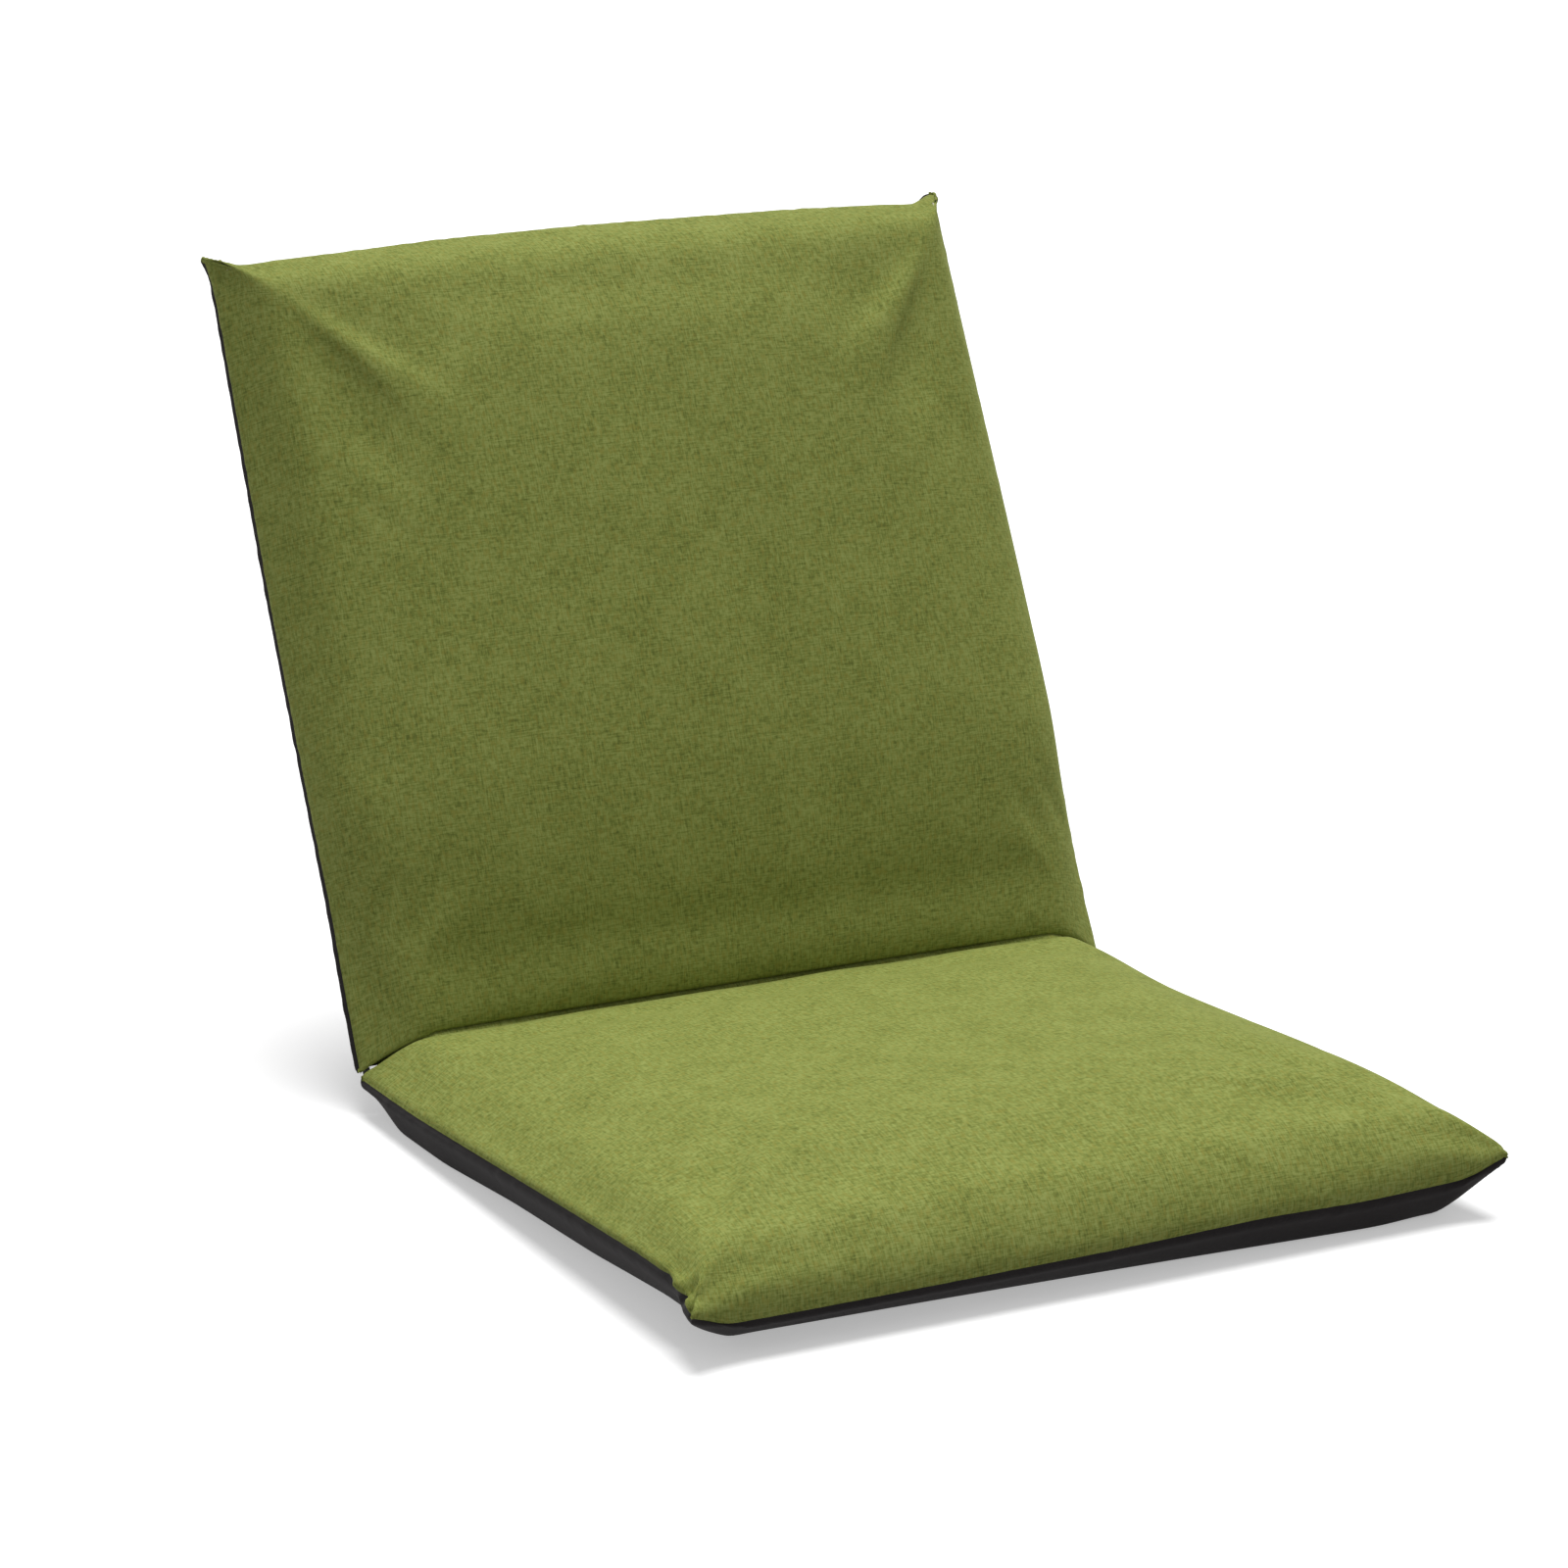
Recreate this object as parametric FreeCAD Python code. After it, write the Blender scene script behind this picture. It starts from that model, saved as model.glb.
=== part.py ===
import FreeCAD, Part
import math
import os

os.makedirs("parts", exist_ok=True)
V = FreeCAD.Vector

# Everything is in millimetres. The chair faces -Y, its width is along X and Z is up.
# Seat and back are drawn laid flat: the back runs from the hinge along +Y, the seat along -Y.
# "along" is the distance from the hinge line, "height" the distance from the underside.

# Overall sizes
half_width = 262.0
seat_depth = 460.0
back_length = 516.0
pad_thickness = 80.0
open_angle = 116.0
tooth_pitch = 16.0
hinge_y = seat_depth / 2
pivot_height = 30.0

# Pads: a cover of face cloth over the foam and of base cloth under it
cloth = 1.2
foam_gap = 0.5
crease_gap = 0.4
fold_end_margin = 10.0
seat_seam_height = 26.0
back_seam_height = 18.0
seat_front_half_width = 261.5
back_top_half_width = 253.5
overrun = 10.0

# Side profile of a pad: "far" distances are taken back from its free end
dip_height = 50.0
roll_along = 24.0
roll_height = 61.0
shoulder_along = 52.0
shoulder_height = 69.0
crown_share = 0.46
lip_far = 30.0
lip_height = 70.0
nose_far = 7.0
nose_height = 50.0
chin_far = 9.0
chin_share = 0.25
toe_far = 30.0

# End profile of a pad: "in" distances are taken in from its side edge
foot_in = 36.0
edge_chin_in = 10.0
edge_nose_in = 7.0
edge_nose_height = 48.0
edge_shoulder_in = 27.0
side_height = 67.0
crown_rise = 16.0
swell_share = 0.8

# Frame of square tube
tube_size = 16.0
tube_wall = 1.2
rail_x = 210.0
rail_height = 13.5
bend_radius = 60.0
frame_margin = 46.0
cross_tube_size = 12.0
seat_cross_tube_share = 0.52
back_cross_tube_share = 0.48

# Soft layers over and under the frame
seat_band_start = 120.0
back_band_start = 84.0
band_end_gap = 62.0
seat_band_count = 4
back_band_count = 5
band_width = 50.0
band_thickness = 1.2
band_return = 32.0
felt_thickness = 2.0
felt_start = 26.0
felt_margin = 8.0
felt_corner = 62.0
padding_start = 6.0
padding_margin = 12.0
padding_corner = 55.0
well_margin = 17.0
pocket_clearance = 3.0

# Ratchet hinge: a toothed arm on the back turns between two cheeks on the seat
cheek_thickness = 2.0
cheek_gap = 3.2
cheek_radius = 20.0
tail_reach = 62.0
plate = 3.0
crest_radius = 16.4
root_radius = 13.4
tooth_count = 11
first_tooth_angle = 215.0
arm_width = 14.0
pivot_diameter = 8.0
pin_diameter = 4.5
running_clearance = 0.05
slot_clearance = 0.1
seat_rail_start = 74.0
back_rail_start = 34.0
socket_depth = 46.0
bar_corner = 3.0
rivet_inset = 20.0
rivet_head = 1.4
rivet_head_ratio = 1.9
joggle_start = 4.0
joggle_length = 9.0
elbow_along = 29.0
tooth_undercut = 3.0
ramp_share = 0.8
pawl_pin_y = -23.8
pawl_pin_z = 6.0
pawl_boss_radius = 4.2
pawl_neck_half = 4.1
pawl_neck_drop = 0.8
pawl_lift = 10.0
nose_side_gap = 1.2
nose_tip_gap = 0.4
nose_ramp_gap = 1.4
nose_reach = 5.6
leaf = 0.6
leaf_width = 2.6
leaf_height = 4.5
leaf_bend_y = -32.5
leaf_tip_y = -22.8
leaf_tip_z = -10.4

rest_turn = 180.0 - open_angle
rail_half = tube_size / 2
rail_bottom = rail_height - rail_half
rail_top = rail_height + rail_half
felt_bottom = rail_top + band_thickness
foam_floor = felt_bottom + felt_thickness


def line(start, end):
    return Part.LineSegment(start, end).toShape()


def arc(start, middle, end):
    return Part.Arc(start, middle, end).toShape()


def polar(radius, degrees, centre_y=0.0, centre_z=0.0):
    """A point in the hinge's own plane, measured from its pivot."""
    turn = math.radians(degrees)
    return V(0, centre_y + radius * math.cos(turn), centre_z + radius * math.sin(turn))


def face_of(edges):
    return Part.Face(Part.Wire(edges))


def box(x_low, x_high, y_low, y_high, z_low, z_high):
    return Part.makeBox(
        x_high - x_low, y_high - y_low, z_high - z_low, V(x_low, y_low, z_low)
    )


def pin(diameter, length, y, z):
    """A round bar along X, centred on X = 0."""
    return Part.makeCylinder(diameter / 2, length, V(-length / 2, y, z), V(1, 0, 0))


def plate_of(face, thickness):
    """A flat plate across X, centred on X = 0, cut to the outline of a face at X = 0."""
    solid = face.extrude(V(thickness, 0, 0))
    solid.translate(V(-thickness / 2, 0, 0))
    return solid


# Places: the seat is turned to run along -Y, and the back is raised about the pivot
def on_seat(shape):
    shape.rotate(V(0, 0, 0), V(0, 0, 1), 180)
    shape.translate(V(0, hinge_y, 0))
    return shape


def on_back(shape):
    shape.rotate(V(0, 0, pivot_height), V(1, 0, 0), rest_turn)
    shape.translate(V(0, hinge_y, 0))
    return shape


def in_hinge(shape):
    """From the hinge's own plane, with the pivot at its origin, to the seat."""
    shape.translate(V(0, hinge_y, pivot_height))
    return shape


def in_hinge_on_back(shape):
    shape.translate(V(0, 0, pivot_height))
    return on_back(shape)


def at_side(shape, side):
    """A copy at the left (side -1) or the right (side 1) of the chair."""
    moved = shape.copy()
    moved.translate(V(side * rail_x, 0, 0))
    return moved


def save(name, shape):
    shape.exportStep("parts/" + name + ".step")


# Padded covers
class Pad:
    """The measures of one pad, or of the same pad drawn in by an even inset."""

    def __init__(self, length, seam, far_half_width, rear_gap, inset=0.0):
        self.length = length - inset
        self.seam = seam
        self.near_half = half_width - inset
        self.far_half = far_half_width - inset
        self.rear = rear_gap + inset
        self.inset = inset

    def side_outline(self):
        """The pad seen from its side: crowned on top, drawn in to the seam at its free end."""
        lean = math.tan(math.radians(90 - open_angle / 2))
        crease = crease_gap + 1.15 * self.inset
        dip_along = (dip_height - pivot_height) * lean

        def at(along, height, sink):
            """A point that an inset lowers by the share of it that faces up there."""
            return V(0, along, height - sink * self.inset)

        heel = at(self.rear, 0, -1)
        waist = at(crease, pivot_height, 0)
        dip = at(crease + dip_along, dip_height, 0.3)
        roll = at(crease + roll_along, roll_height, 0.7)
        shoulder = at(crease + shoulder_along, shoulder_height, 0.9)
        crown = at(self.length * crown_share, pad_thickness, 1)
        lip = at(self.length - lip_far, lip_height, 0.9)
        nose = at(self.length - nose_far, nose_height, 0.4)
        tip = at(self.length, self.seam, 0)
        chin = at(self.length - chin_far, chin_share * self.seam, -0.7)
        toe = at(self.length - toe_far, 0, -1)
        return [
            line(heel, waist),
            line(waist, dip),
            arc(dip, roll, shoulder),
            arc(shoulder, crown, lip),
            arc(lip, nose, tip),
            arc(tip, chin, toe),
            line(toe, heel),
        ]

    def end_outline(self):
        """The right edge seen from the pad's end, with all to the left of it left whole."""
        half = self.near_half
        far_left = -3 * half_width

        def at(x, height, sink):
            return V(x, -overrun, height - sink * self.inset)

        foot = at(half - foot_in, 0, -1)
        chin = at(half - edge_chin_in, chin_share * self.seam, -0.7)
        seam = at(half, self.seam, 0)
        nose = at(half - edge_nose_in, edge_nose_height, 0.4)
        shoulder = at(half - edge_shoulder_in, side_height, 0.9)
        swell = at(half / 2, side_height + swell_share * crown_rise, 1)
        crown = at(0, side_height + crown_rise, 1)
        far_top = at(far_left, side_height + crown_rise, 1)
        far_low = at(far_left, 0, -1)
        return [
            arc(foot, chin, seam),
            arc(seam, nose, shoulder),
            arc(shoulder, swell, crown),
            line(crown, far_top),
            line(far_top, far_low),
            line(far_low, foot),
        ]

    def solid(self):
        """What three outlines hold: one pushed across the pad, two along its slanting sides."""
        across = face_of(self.side_outline()).extrude(V(3 * half_width, 0, 0))
        across.translate(V(-1.5 * half_width, 0, 0))
        right = face_of(self.end_outline()).extrude(V(0, self.length + 3 * overrun, 0))
        taper = math.atan2(self.near_half - self.far_half, self.length)
        right.rotate(V(0, 0, 0), V(0, 0, 1), math.degrees(taper))
        left = right.mirror(V(0, 0, 0), V(1, 0, 0))
        return across.common(right).common(left)


def hinge_pockets(reach):
    """The slits in the foam and the felt for the hinge plates, one at each side."""
    width = cheek_gap / 2 + cheek_thickness + pocket_clearance
    slit = box(-width, width, -1, reach, -1, pivot_height + cheek_radius + foam_gap)
    return at_side(slit, -1).fuse(at_side(slit, 1))


def crease_room(radius):
    """The round space about the pivot that both pads leave free, nearly out to the seams."""
    return pin(2 * radius, 2 * (half_width - fold_end_margin), 0, pivot_height)


def cover(pad_outer, pad_inner):
    """The cover as one skin, open towards the hinge."""
    skin = pad_outer.solid().cut(pad_inner.solid())
    return skin.cut(crease_room(cheek_radius + cloth))


def above_seam(pad):
    """Everything higher than the seam."""
    wide = 2 * half_width
    return box(-wide, wide, -2 * pad_thickness, 2 * pad.length, pad.seam, 3 * pad_thickness)


def foam(pad, length):
    """The foam block, hollowed underneath for the frame, bands and felt."""
    reach = rail_x + well_margin
    well = box(-reach, reach, -overrun, length - frame_margin + well_margin, -1, foam_floor)
    block = pad.solid().cut(well)
    block = block.cut(crease_room(cheek_radius + cloth + foam_gap))
    return block.cut(hinge_pockets(seat_rail_start))


# Tubes
def bent_u(start, far, half):
    """A square bar bent to a U: two rails, two quarter bends and the run between them."""
    bend = far - bend_radius
    inner = rail_x - bend_radius
    low = rail_height - half
    high = rail_height + half
    solid = box(-inner, inner, far - half, far + half, low, high)
    for side in (-1, 1):
        x = side * rail_x
        rail = box(x - half, x + half, start, bend, low, high)
        end = rail.Faces[3]
        corner = end.revolve(V(side * inner, bend, rail_height), V(0, 0, 1), side * 90)
        solid = solid.fuse(rail).fuse(corner)
    return solid.removeSplitter()


def frame_tube(start, far, slot_width):
    """A U of square tube, its ends slotted for the plates of the hinges and drilled for a rivet."""
    tube = bent_u(start, far, rail_half).cut(bent_u(start, far, rail_half - tube_wall))
    low = start - 1
    high = start + socket_depth + 0.5
    slot = box(-slot_width / 2, slot_width / 2, low, high, 0, 2 * rail_height)
    hole = pin(pin_diameter, 2 * tube_size, start + rivet_inset, rail_height)
    for side in (-1, 1):
        tube = tube.cut(at_side(slot.fuse(hole), side))
    return tube


def cross_tube(along):
    """A square tube between the rails, welded to them at both ends."""
    reach = rail_x - rail_half
    half = cross_tube_size / 2
    bore = half - tube_wall
    z = rail_height
    outer = box(-reach, reach, along - half, along + half, z - half, z + half)
    inner = box(-reach, reach, along - bore, along + bore, z - bore, z + bore)
    return outer.cut(inner)


# Soft layers of the frame
def bands(places):
    """Elastic bands over the frame, each wrapped round both rails and sewn back under them."""
    reach = rail_x + rail_half + band_thickness
    low = rail_bottom - band_thickness
    high = rail_top + band_thickness

    def strip(along):
        end = along + band_width
        outer = box(-reach, reach, along, end, low, high)
        hollow = rail_x + rail_half
        inner = box(-hollow, hollow, along - 1, end + 1, rail_bottom, rail_top)
        open_reach = hollow - band_return
        opening = box(-open_reach, open_reach, along - 1, end + 1, low - 1, rail_top)
        return outer.cut(inner).cut(opening)

    return Part.makeCompound([strip(along) for along in places])


def rounded_sheet(length, margin, near, low, thickness, corner):
    """A flat sheet as wide as the frame and a margin more, with its two far corners rounded."""
    half_x = rail_x + margin
    sheet = box(-half_x, half_x, near, length - frame_margin + margin, low, low + thickness)
    upright = [
        edge
        for edge in sheet.Edges
        if abs(edge.Vertexes[0].Z - edge.Vertexes[1].Z) > thickness / 2
        and edge.Vertexes[0].Y > near + 1
    ]
    return sheet.makeFillet(corner, upright)


def padding(length):
    """The thin foam sheet between the base cloth and the frame."""
    thickness = rail_bottom - band_thickness - cloth
    return rounded_sheet(length, padding_margin, padding_start, cloth, thickness, padding_corner)


def felt(length):
    """The felt sheet between the bands and the foam."""
    low = felt_bottom
    sheet = rounded_sheet(length, felt_margin, felt_start, low, felt_thickness, felt_corner)
    return sheet.cut(hinge_pockets(seat_rail_start))


# Hinge pieces, drawn in the hinge's own plane with the pivot at the origin
def hull_of_circles(centre_a, radius_a, centre_b, radius_b):
    """The face round two circles and their outer tangents."""
    between = centre_b - centre_a
    heading = math.degrees(math.atan2(between.z, between.y))
    spread = math.degrees(math.acos((radius_a - radius_b) / between.Length))

    def on_circle(centre, radius, degrees):
        return polar(radius, degrees, centre.y, centre.z)

    low = heading - spread
    high = heading + spread
    return face_of(
        [
            line(on_circle(centre_a, radius_a, high), on_circle(centre_b, radius_b, high)),
            arc(
                on_circle(centre_b, radius_b, high),
                on_circle(centre_b, radius_b, heading),
                on_circle(centre_b, radius_b, low),
            ),
            line(on_circle(centre_b, radius_b, low), on_circle(centre_a, radius_a, low)),
            arc(
                on_circle(centre_a, radius_a, low),
                on_circle(centre_a, radius_a, heading + 180),
                on_circle(centre_a, radius_a, high),
            ),
        ]
    )


pivot = V(0, 0, 0)
pawl_pin = V(0, pawl_pin_y, pawl_pin_z)
rail_z = rail_height - pivot_height


def bar_outline(low, high):
    """A bar as high as the rail, with the corners of its far end cut off."""
    half = rail_half
    corner = bar_corner
    past = corner if high > low else -corner
    points = [
        V(0, low, rail_z - half),
        V(0, high - past, rail_z - half),
        V(0, high, rail_z - half + corner),
        V(0, high, rail_z + half - corner),
        V(0, high - past, rail_z + half),
        V(0, low, rail_z + half),
    ]
    return Part.Face(Part.makePolygon(points + points[:1]))


def cheek():
    """One side plate of the hinge, on the +X side of its middle.

    It is round at the pivot. Its tail steps in to meet the other cheek's and fills the rail's slot.
    """
    head = hull_of_circles(pivot, cheek_radius, V(0, -tail_reach, rail_z), rail_half)
    tail = bar_outline(-tail_reach, -seat_rail_start - socket_depth)
    wide = 4 * (cheek_gap + cheek_thickness)
    outline = plate_of(head, wide).fuse(plate_of(tail, wide))
    gap = cheek_gap / 2
    thick = cheek_thickness
    step_start = -tail_reach + joggle_start
    step_end = step_start - joggle_length
    far = -seat_rail_start - socket_depth - 1
    run = [
        V(gap, cheek_radius + 1, 0),
        V(gap + thick, cheek_radius + 1, 0),
        V(gap + thick, step_start, 0),
        V(thick, step_end, 0),
        V(thick, far, 0),
        V(0, far, 0),
        V(0, step_end, 0),
        V(gap, step_start, 0),
    ]
    band = Part.Face(Part.makePolygon(run + run[:1])).extrude(V(0, 0, 4 * cheek_radius))
    band.translate(V(0, 0, -2 * cheek_radius))
    solid = outline.removeSplitter().common(band)
    solid = solid.cut(pin(pivot_diameter, wide, 0, 0))
    for place in (pawl_pin, V(0, -seat_rail_start - rivet_inset, rail_z)):
        solid = solid.cut(pin(pin_diameter, wide, place.y, place.z))
    return solid


def rivet(diameter, grip, place):
    """A rivet across the hinge with a flat head at each side."""
    shank = pin(diameter, grip, place.y, place.z)
    for way in (-1, 1):
        cap = pin(rivet_head_ratio * diameter, rivet_head, place.y, place.z)
        cap.translate(V(way * (grip + rivet_head) / 2, 0, 0))
        shank = shank.fuse(cap)
    return shank


def tooth_gap(degrees):
    """The space before one tooth: a steep face that holds and a long ramp that lets go."""
    ramp_start = degrees - tooth_undercut
    ramp_end = degrees - ramp_share * tooth_pitch
    over = crest_radius + 2
    return face_of(
        [
            line(polar(root_radius, degrees), polar(over, degrees)),
            line(polar(over, degrees), polar(over, ramp_end)),
            line(polar(over, ramp_end), polar(crest_radius, ramp_end)),
            line(polar(crest_radius, ramp_end), polar(root_radius, ramp_start)),
            line(polar(root_radius, ramp_start), polar(root_radius, degrees)),
        ]
    )


def ratchet_arm():
    """The toothed head on its cranked arm, which ends in the slot of the back's rail."""
    head = Part.Face(Part.Wire(Part.makeCircle(crest_radius, pivot, V(1, 0, 0))))
    elbow = V(0, elbow_along, rail_z)
    crank = hull_of_circles(pivot, arm_width / 2, elbow, rail_half)
    solid = plate_of(head, plate)
    for index in range(tooth_count):
        gap = plate_of(tooth_gap(first_tooth_angle - index * tooth_pitch), plate + 1)
        solid = solid.cut(gap)
    bar = bar_outline(elbow.y, back_rail_start + socket_depth)
    solid = solid.fuse(plate_of(crank, plate)).fuse(plate_of(bar, plate)).removeSplitter()
    solid = solid.cut(pin(pivot_diameter + 2 * running_clearance, 2 * plate, 0, 0))
    return solid.cut(pin(pin_diameter, 2 * plate, back_rail_start + rivet_inset, rail_z))


def pawl():
    """The pawl as it stands in a tooth gap: a boss round its pin and a nose that fills the gap."""
    steep = first_tooth_angle - nose_side_gap
    tip = polar(root_radius + nose_tip_gap, steep)
    heel = polar(crest_radius + nose_reach, steep)
    neck_z = pawl_pin_z - pawl_neck_drop
    neck_far = V(0, pawl_pin_y - pawl_neck_half, neck_z)
    neck_near = V(0, pawl_pin_y + pawl_neck_half, neck_z)
    ramp_angle = first_tooth_angle - ramp_share * tooth_pitch
    ramp_end = polar(crest_radius + nose_ramp_gap, ramp_angle)
    ramp_start = polar(root_radius + nose_tip_gap, steep - tooth_undercut)
    corners = [tip, heel, neck_far, neck_near, ramp_end, ramp_start]
    leg = Part.Face(Part.makePolygon(corners + corners[:1]))
    boss = Part.Face(Part.Wire(Part.makeCircle(pawl_boss_radius, pawl_pin, V(1, 0, 0))))
    solid = plate_of(boss, plate).fuse(plate_of(leg, plate)).removeSplitter()
    bore = pin_diameter + 2 * running_clearance
    solid = solid.cut(pin(bore, 2 * plate, pawl_pin.y, pawl_pin.z))
    solid.rotate(pawl_pin, V(1, 0, 0), -pawl_lift)
    return solid


def pawl_spring():
    """A leaf held where the cheeks step in, which presses on the back of the lifted pawl."""
    low = rail_z + leaf_height
    root = -tail_reach + joggle_start - 0.5
    up = V(0, 0, leaf)
    run = [V(0, root, low), V(0, leaf_bend_y, low), V(0, leaf_tip_y, leaf_tip_z)]
    back = [point + up for point in reversed(run)]
    return plate_of(Part.Face(Part.makePolygon(run + back + run[:1])), leaf_width)


def fold_cloth():
    """The pouch of base cloth round the fold, between the seat's rear and the back's foot."""
    end = rest_turn - 90.0 - 0.9
    length = 2 * (half_width - fold_end_margin)
    radius = pivot_height - 0.3

    def wedge(radius, start, stop, width):
        sides = [
            line(pivot, polar(radius, start)),
            arc(polar(radius, start), polar(radius, (start + stop) / 2), polar(radius, stop)),
            line(polar(radius, stop), pivot),
        ]
        return plate_of(face_of(sides), width)

    outer = wedge(radius, -90.0, end, length)
    inner = wedge(radius - cloth, -100.0, end + 10.0, length - 2 * cloth)
    return in_hinge(outer.cut(inner))


# Seat and back, the same build at two sizes
def pads(length, seam, far_half_width, rear_gap):
    def drawn_in(inset):
        return Pad(length, seam, far_half_width, rear_gap, inset)

    skin = cover(drawn_in(0.0), drawn_in(cloth))
    upper = above_seam(drawn_in(0.0))
    return {
        "face_cloth": skin.common(upper),
        "base_cloth": skin.cut(upper),
        "foam": foam(drawn_in(cloth + foam_gap), length),
    }


def band_places(first, far, count):
    """Where the bands begin, spread evenly from the first to the gap before the far tube."""
    step = (far - band_end_gap - band_width - first) / (count - 1)
    return [first + index * step for index in range(count)]


def main():
    seat = pads(seat_depth, seat_seam_height, seat_front_half_width, 0.0)
    save("seat_face_cloth", on_seat(seat["face_cloth"]))
    save("seat_base_cloth", on_seat(seat["base_cloth"]))
    save("seat_foam", on_seat(seat["foam"]))
    back = pads(back_length, back_seam_height, back_top_half_width, crease_gap)
    save("back_face_cloth", on_back(back["face_cloth"]))
    save("back_rear_cloth", on_back(back["base_cloth"]))
    save("back_foam", on_back(back["foam"]))
    save("fold_cloth", fold_cloth())

    seat_far = seat_depth - frame_margin
    back_far = back_length - frame_margin
    seat_slot = 2 * cheek_thickness + slot_clearance
    back_slot = plate + slot_clearance
    save("seat_frame_tube", on_seat(frame_tube(seat_rail_start, seat_far, seat_slot)))
    save("back_frame_tube", on_back(frame_tube(back_rail_start, back_far, back_slot)))
    save("seat_cross_tube", on_seat(cross_tube(seat_far * seat_cross_tube_share)))
    save("back_cross_tube", on_back(cross_tube(back_far * back_cross_tube_share)))
    seat_places = band_places(seat_band_start, seat_far, seat_band_count)
    back_places = band_places(back_band_start, back_far, back_band_count)
    save("seat_bands", on_seat(bands(seat_places)))
    save("back_bands", on_back(bands(back_places)))
    save("seat_padding", on_seat(padding(seat_depth)))
    save("back_padding", on_back(padding(back_length)))
    save("seat_felt", on_seat(felt(seat_depth)))
    save("back_felt", on_back(felt(back_length)))

    grip = cheek_gap + 2 * cheek_thickness
    seat_rivet_place = V(0, seat_rail_start + rivet_inset, rail_height)
    back_rivet_place = V(0, back_rail_start + rivet_inset, rail_height)
    for name, side in (("left", -1), ("right", 1)):
        for part, turn in (("outer", side > 0), ("inner", side < 0)):
            solid = cheek() if turn else cheek().mirror(pivot, V(1, 0, 0))
            save("hinge_cheek_" + part + "_" + name, at_side(in_hinge(solid), side))
        pivot_rivet = rivet(pivot_diameter, grip, pivot)
        pawl_rivet = rivet(pin_diameter, grip, pawl_pin)
        save("pivot_rivet_" + name, at_side(in_hinge(pivot_rivet), side))
        save("pawl_pin_" + name, at_side(in_hinge(pawl_rivet), side))
        seat_rivet = rivet(pin_diameter, tube_size, seat_rivet_place)
        back_rivet = rivet(pin_diameter, tube_size, back_rivet_place)
        save("seat_rail_rivet_" + name, at_side(on_seat(seat_rivet), side))
        save("back_rail_rivet_" + name, at_side(on_back(back_rivet), side))
        save("ratchet_arm_" + name, at_side(in_hinge_on_back(ratchet_arm()), side))
        save("pawl_" + name, at_side(in_hinge(pawl()), side))
        save("pawl_spring_" + name, at_side(in_hinge(pawl_spring()), side))


main()
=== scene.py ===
import bpy
import bmesh
import math
import numpy as np
from dataclasses import dataclass
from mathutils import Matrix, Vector


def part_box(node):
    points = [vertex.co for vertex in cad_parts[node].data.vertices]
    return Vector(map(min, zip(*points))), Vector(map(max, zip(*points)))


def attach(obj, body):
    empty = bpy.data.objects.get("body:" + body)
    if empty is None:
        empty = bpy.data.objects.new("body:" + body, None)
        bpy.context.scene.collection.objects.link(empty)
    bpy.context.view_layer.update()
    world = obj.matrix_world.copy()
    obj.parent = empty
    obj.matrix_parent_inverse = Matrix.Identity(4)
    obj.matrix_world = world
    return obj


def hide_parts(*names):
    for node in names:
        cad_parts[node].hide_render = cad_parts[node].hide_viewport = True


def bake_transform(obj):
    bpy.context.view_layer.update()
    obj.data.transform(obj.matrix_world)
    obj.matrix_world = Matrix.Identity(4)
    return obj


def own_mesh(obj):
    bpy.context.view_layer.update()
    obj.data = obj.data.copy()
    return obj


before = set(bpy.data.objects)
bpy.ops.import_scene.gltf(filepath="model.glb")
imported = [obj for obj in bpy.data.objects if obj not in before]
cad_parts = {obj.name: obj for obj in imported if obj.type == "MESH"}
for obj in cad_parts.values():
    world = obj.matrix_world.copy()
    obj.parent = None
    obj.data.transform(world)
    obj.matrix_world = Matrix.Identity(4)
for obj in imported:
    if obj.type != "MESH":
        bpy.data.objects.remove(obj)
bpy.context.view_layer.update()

# Sizes in millimetres. Each pad is drawn laid flat: x across, u away from the hinge, v up from
# its underside. The places of the hinge and the pads are those of the part.
MM = 0.001
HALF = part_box("seat_face_cloth")[1].x / MM
SEAT_DEPTH = (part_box("seat_face_cloth")[1].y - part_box("seat_face_cloth")[0].y) / MM
BACK_LENGTH = 516.0
HINGE_Y = 230.0
PIVOT_HEIGHT = 30.0
OPEN_ANGLE = 116.0
REST_TURN = 180.0 - OPEN_ANGLE
CREASE_GAP = 0.4
LEAN = math.tan(math.radians(90 - OPEN_ANGLE / 2))
SEAM_BASE = 26.0
CROWN = 80.0
CREASE_CROWN = 58.5
CLOTH = 1.2
FOAM_FLOOR = 25.0
TUCK = 1.15
DROP = 1.35
RAIL_X = 210.0
HINGE_ROOM = 255.0

# Profiles of a pad: "far" distances are taken back from its free end, and the first number of
# each pair is taken in from its side
DIP_HEIGHT = 50.0
ROLL_ALONG = 24.4
SHOULDER_ALONG = 52.4
CROWN_SHARE = 0.48
LIP_FAR = 30.0
LIP_HEIGHT = 70.0
NOSE_FAR = 7.0
NOSE_HEIGHT = 50.0
FULL_NOSE = (7.0, 48.0)
FULL_SHOULDER = (27.0, 67.0)
FULL_SWELL = 77.4
CREASE_NOSE = (12.0, 35.0)
CREASE_SHOULDER = (38.0, 51.5)
CREASE_SWELL = 57.1
CREASE_REACH = 26.0

# The base cloth: how much of it rises to the seam, and the raised corners at the hinge
SIDE_SHARE = 0.16
FRONT_SHARE = 0.12
REAR_SHARE = 0.015
HEEL_HEIGHT = 8.5
HEEL_REACH = 46.0
HEEL_INNER = 214.0
HEEL_WIDTH = 40.0
HEEL_BELOW_SEAM = 5.0
HEEL_RISE = 0.9

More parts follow.
